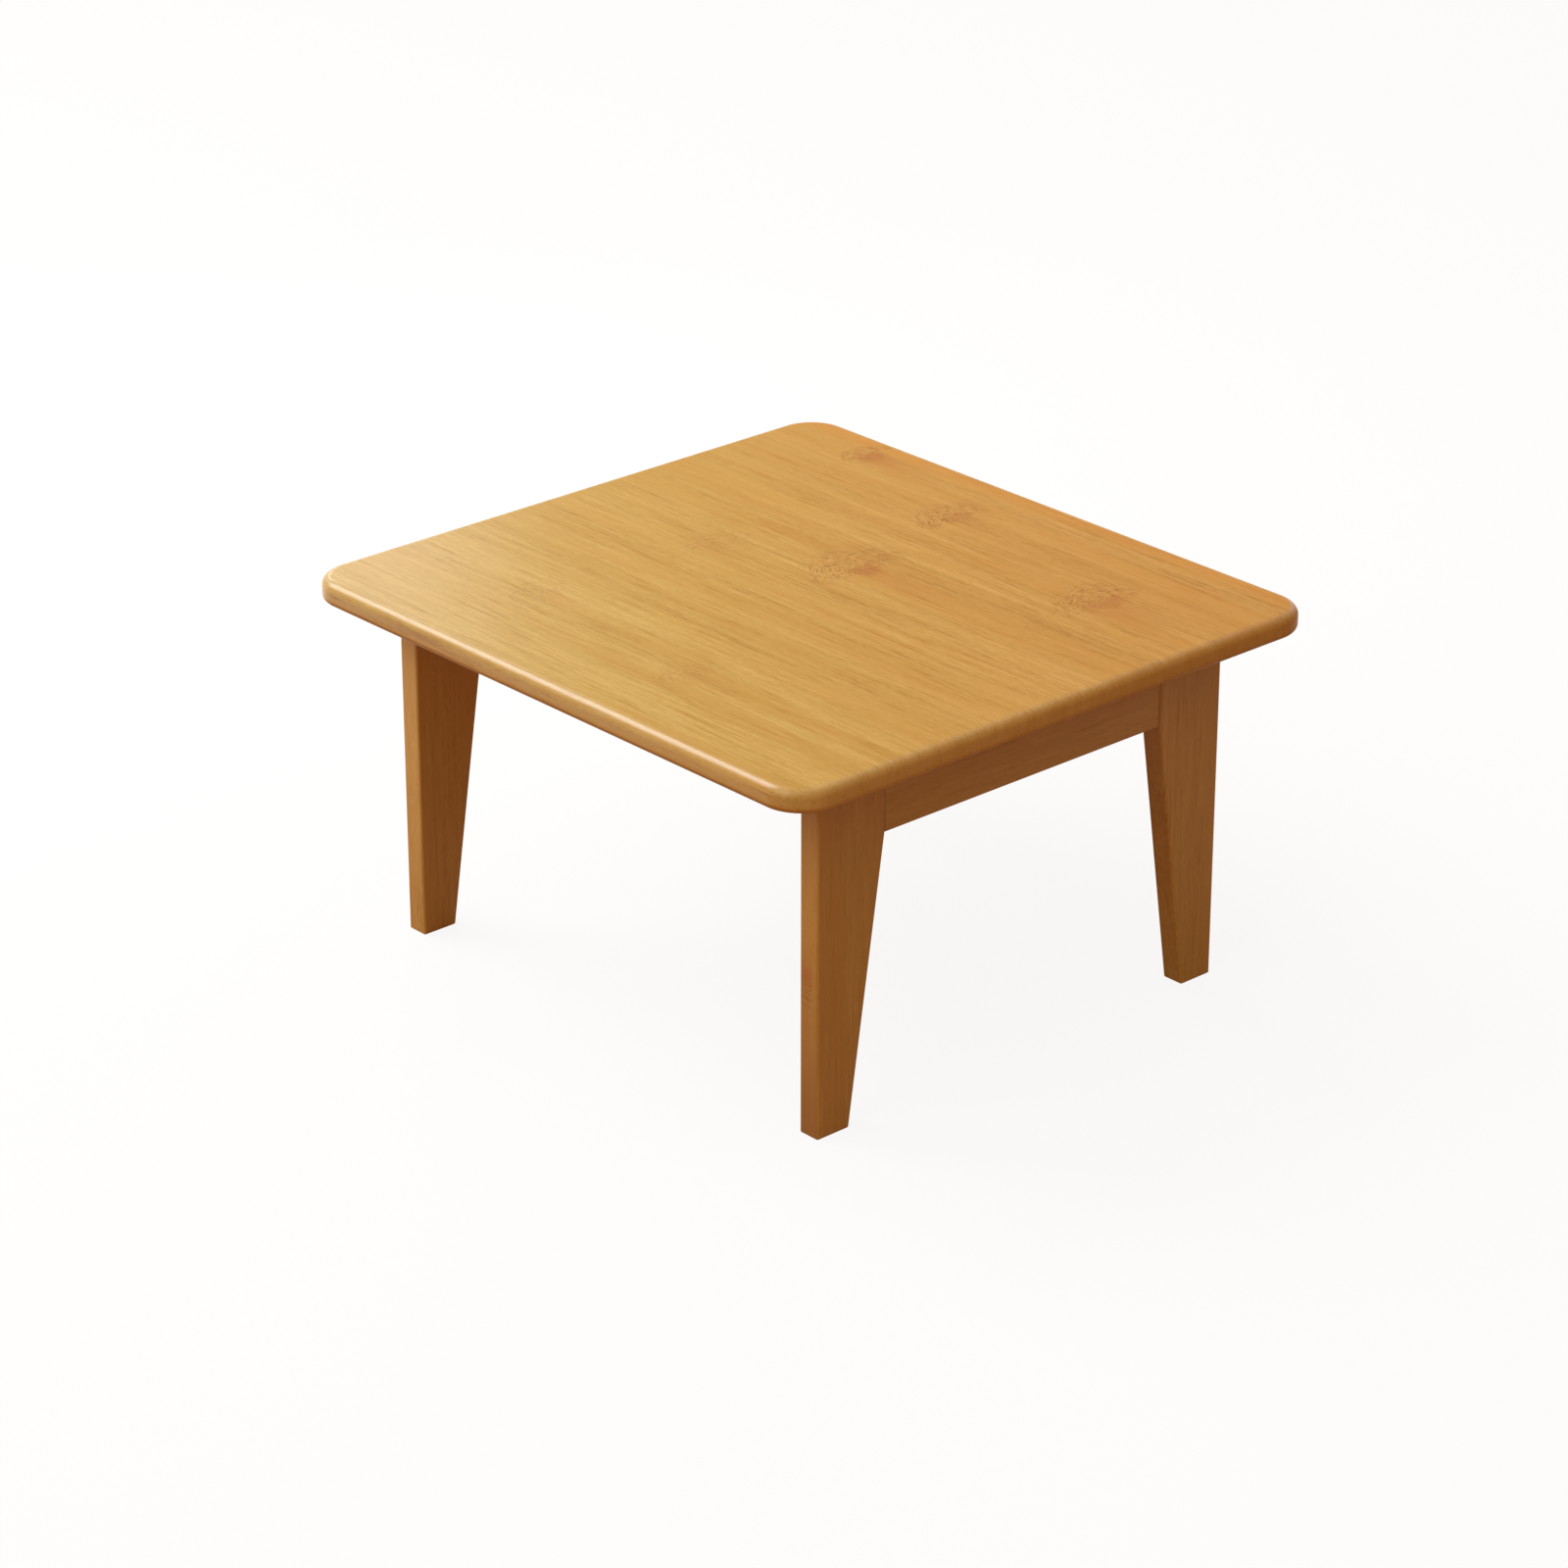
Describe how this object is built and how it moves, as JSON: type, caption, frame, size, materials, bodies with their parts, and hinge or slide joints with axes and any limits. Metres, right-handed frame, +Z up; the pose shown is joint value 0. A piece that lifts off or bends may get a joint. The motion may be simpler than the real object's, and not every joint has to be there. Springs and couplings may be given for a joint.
{
  "type": "low folding table",
  "caption": "Low bamboo table with a rounded top on two folding leg frames of tapered boards and an apron.",
  "frame": {"origin": "on the floor under the middle of the top", "axes": "+Z up; +Y along the strips and the longer side of the top; +X along the aprons"},
  "size_m": [0.563, 0.6, 0.325],
  "materials": {
    "bamboo_top": "satin lacquer over laminated bamboo",
    "bamboo_frame": "satin lacquer over laminated bamboo",
    "bamboo_dowel": "raw turned bamboo",
    "hinge_steel": "zinc plated",
    "screw_steel": "yellow-grey zinc plated",
    "spring_steel": "bright tempered spring steel"
  },
  "bodies": {
    "top": {"batten_screws": "screw_steel", "catch_screws": "screw_steel", "front_batten": "bamboo_frame", "front_catch_spring": "spring_steel", "front_left_hinge_pin": "hinge_steel", "front_left_top_leaf": "hinge_steel", "front_right_hinge_pin": "hinge_steel", "front_right_top_leaf": "hinge_steel", "rear_batten": "bamboo_frame", "rear_catch_spring": "spring_steel", "rear_left_hinge_pin": "hinge_steel", "rear_left_top_leaf": "hinge_steel", "rear_right_hinge_pin": "hinge_steel", "rear_right_top_leaf": "hinge_steel", "table_top": "bamboo_top", "top_leaf_screws": "screw_steel"},
    "front_frame": {"front_apron": "bamboo_frame", "front_frame_dowels": "bamboo_dowel", "front_left_leg": "bamboo_frame", "front_left_leg_leaf": "hinge_steel", "front_leg_leaf_screws": "screw_steel", "front_right_leg": "bamboo_frame", "front_right_leg_leaf": "hinge_steel"},
    "rear_frame": {"rear_apron": "bamboo_frame", "rear_frame_dowels": "bamboo_dowel", "rear_left_leg": "bamboo_frame", "rear_left_leg_leaf": "hinge_steel", "rear_leg_leaf_screws": "screw_steel", "rear_right_leg": "bamboo_frame", "rear_right_leg_leaf": "hinge_steel"}
  },
  "joints": [
    {"name": "front_frame_fold", "type": "hinge", "parent": "top", "child": "front_frame", "pos_m": [0, -0.2306, 0.3006], "axis": [1, 0, 0], "range_deg": [0, 90], "deforming": ["front_catch_spring"]},
    {"name": "rear_frame_fold", "type": "hinge", "parent": "top", "child": "rear_frame", "pos_m": [0, 0.2306, 0.3006], "axis": [-1, 0, 0], "range_deg": [0, 82.5], "deforming": ["rear_catch_spring"]}
  ]
}
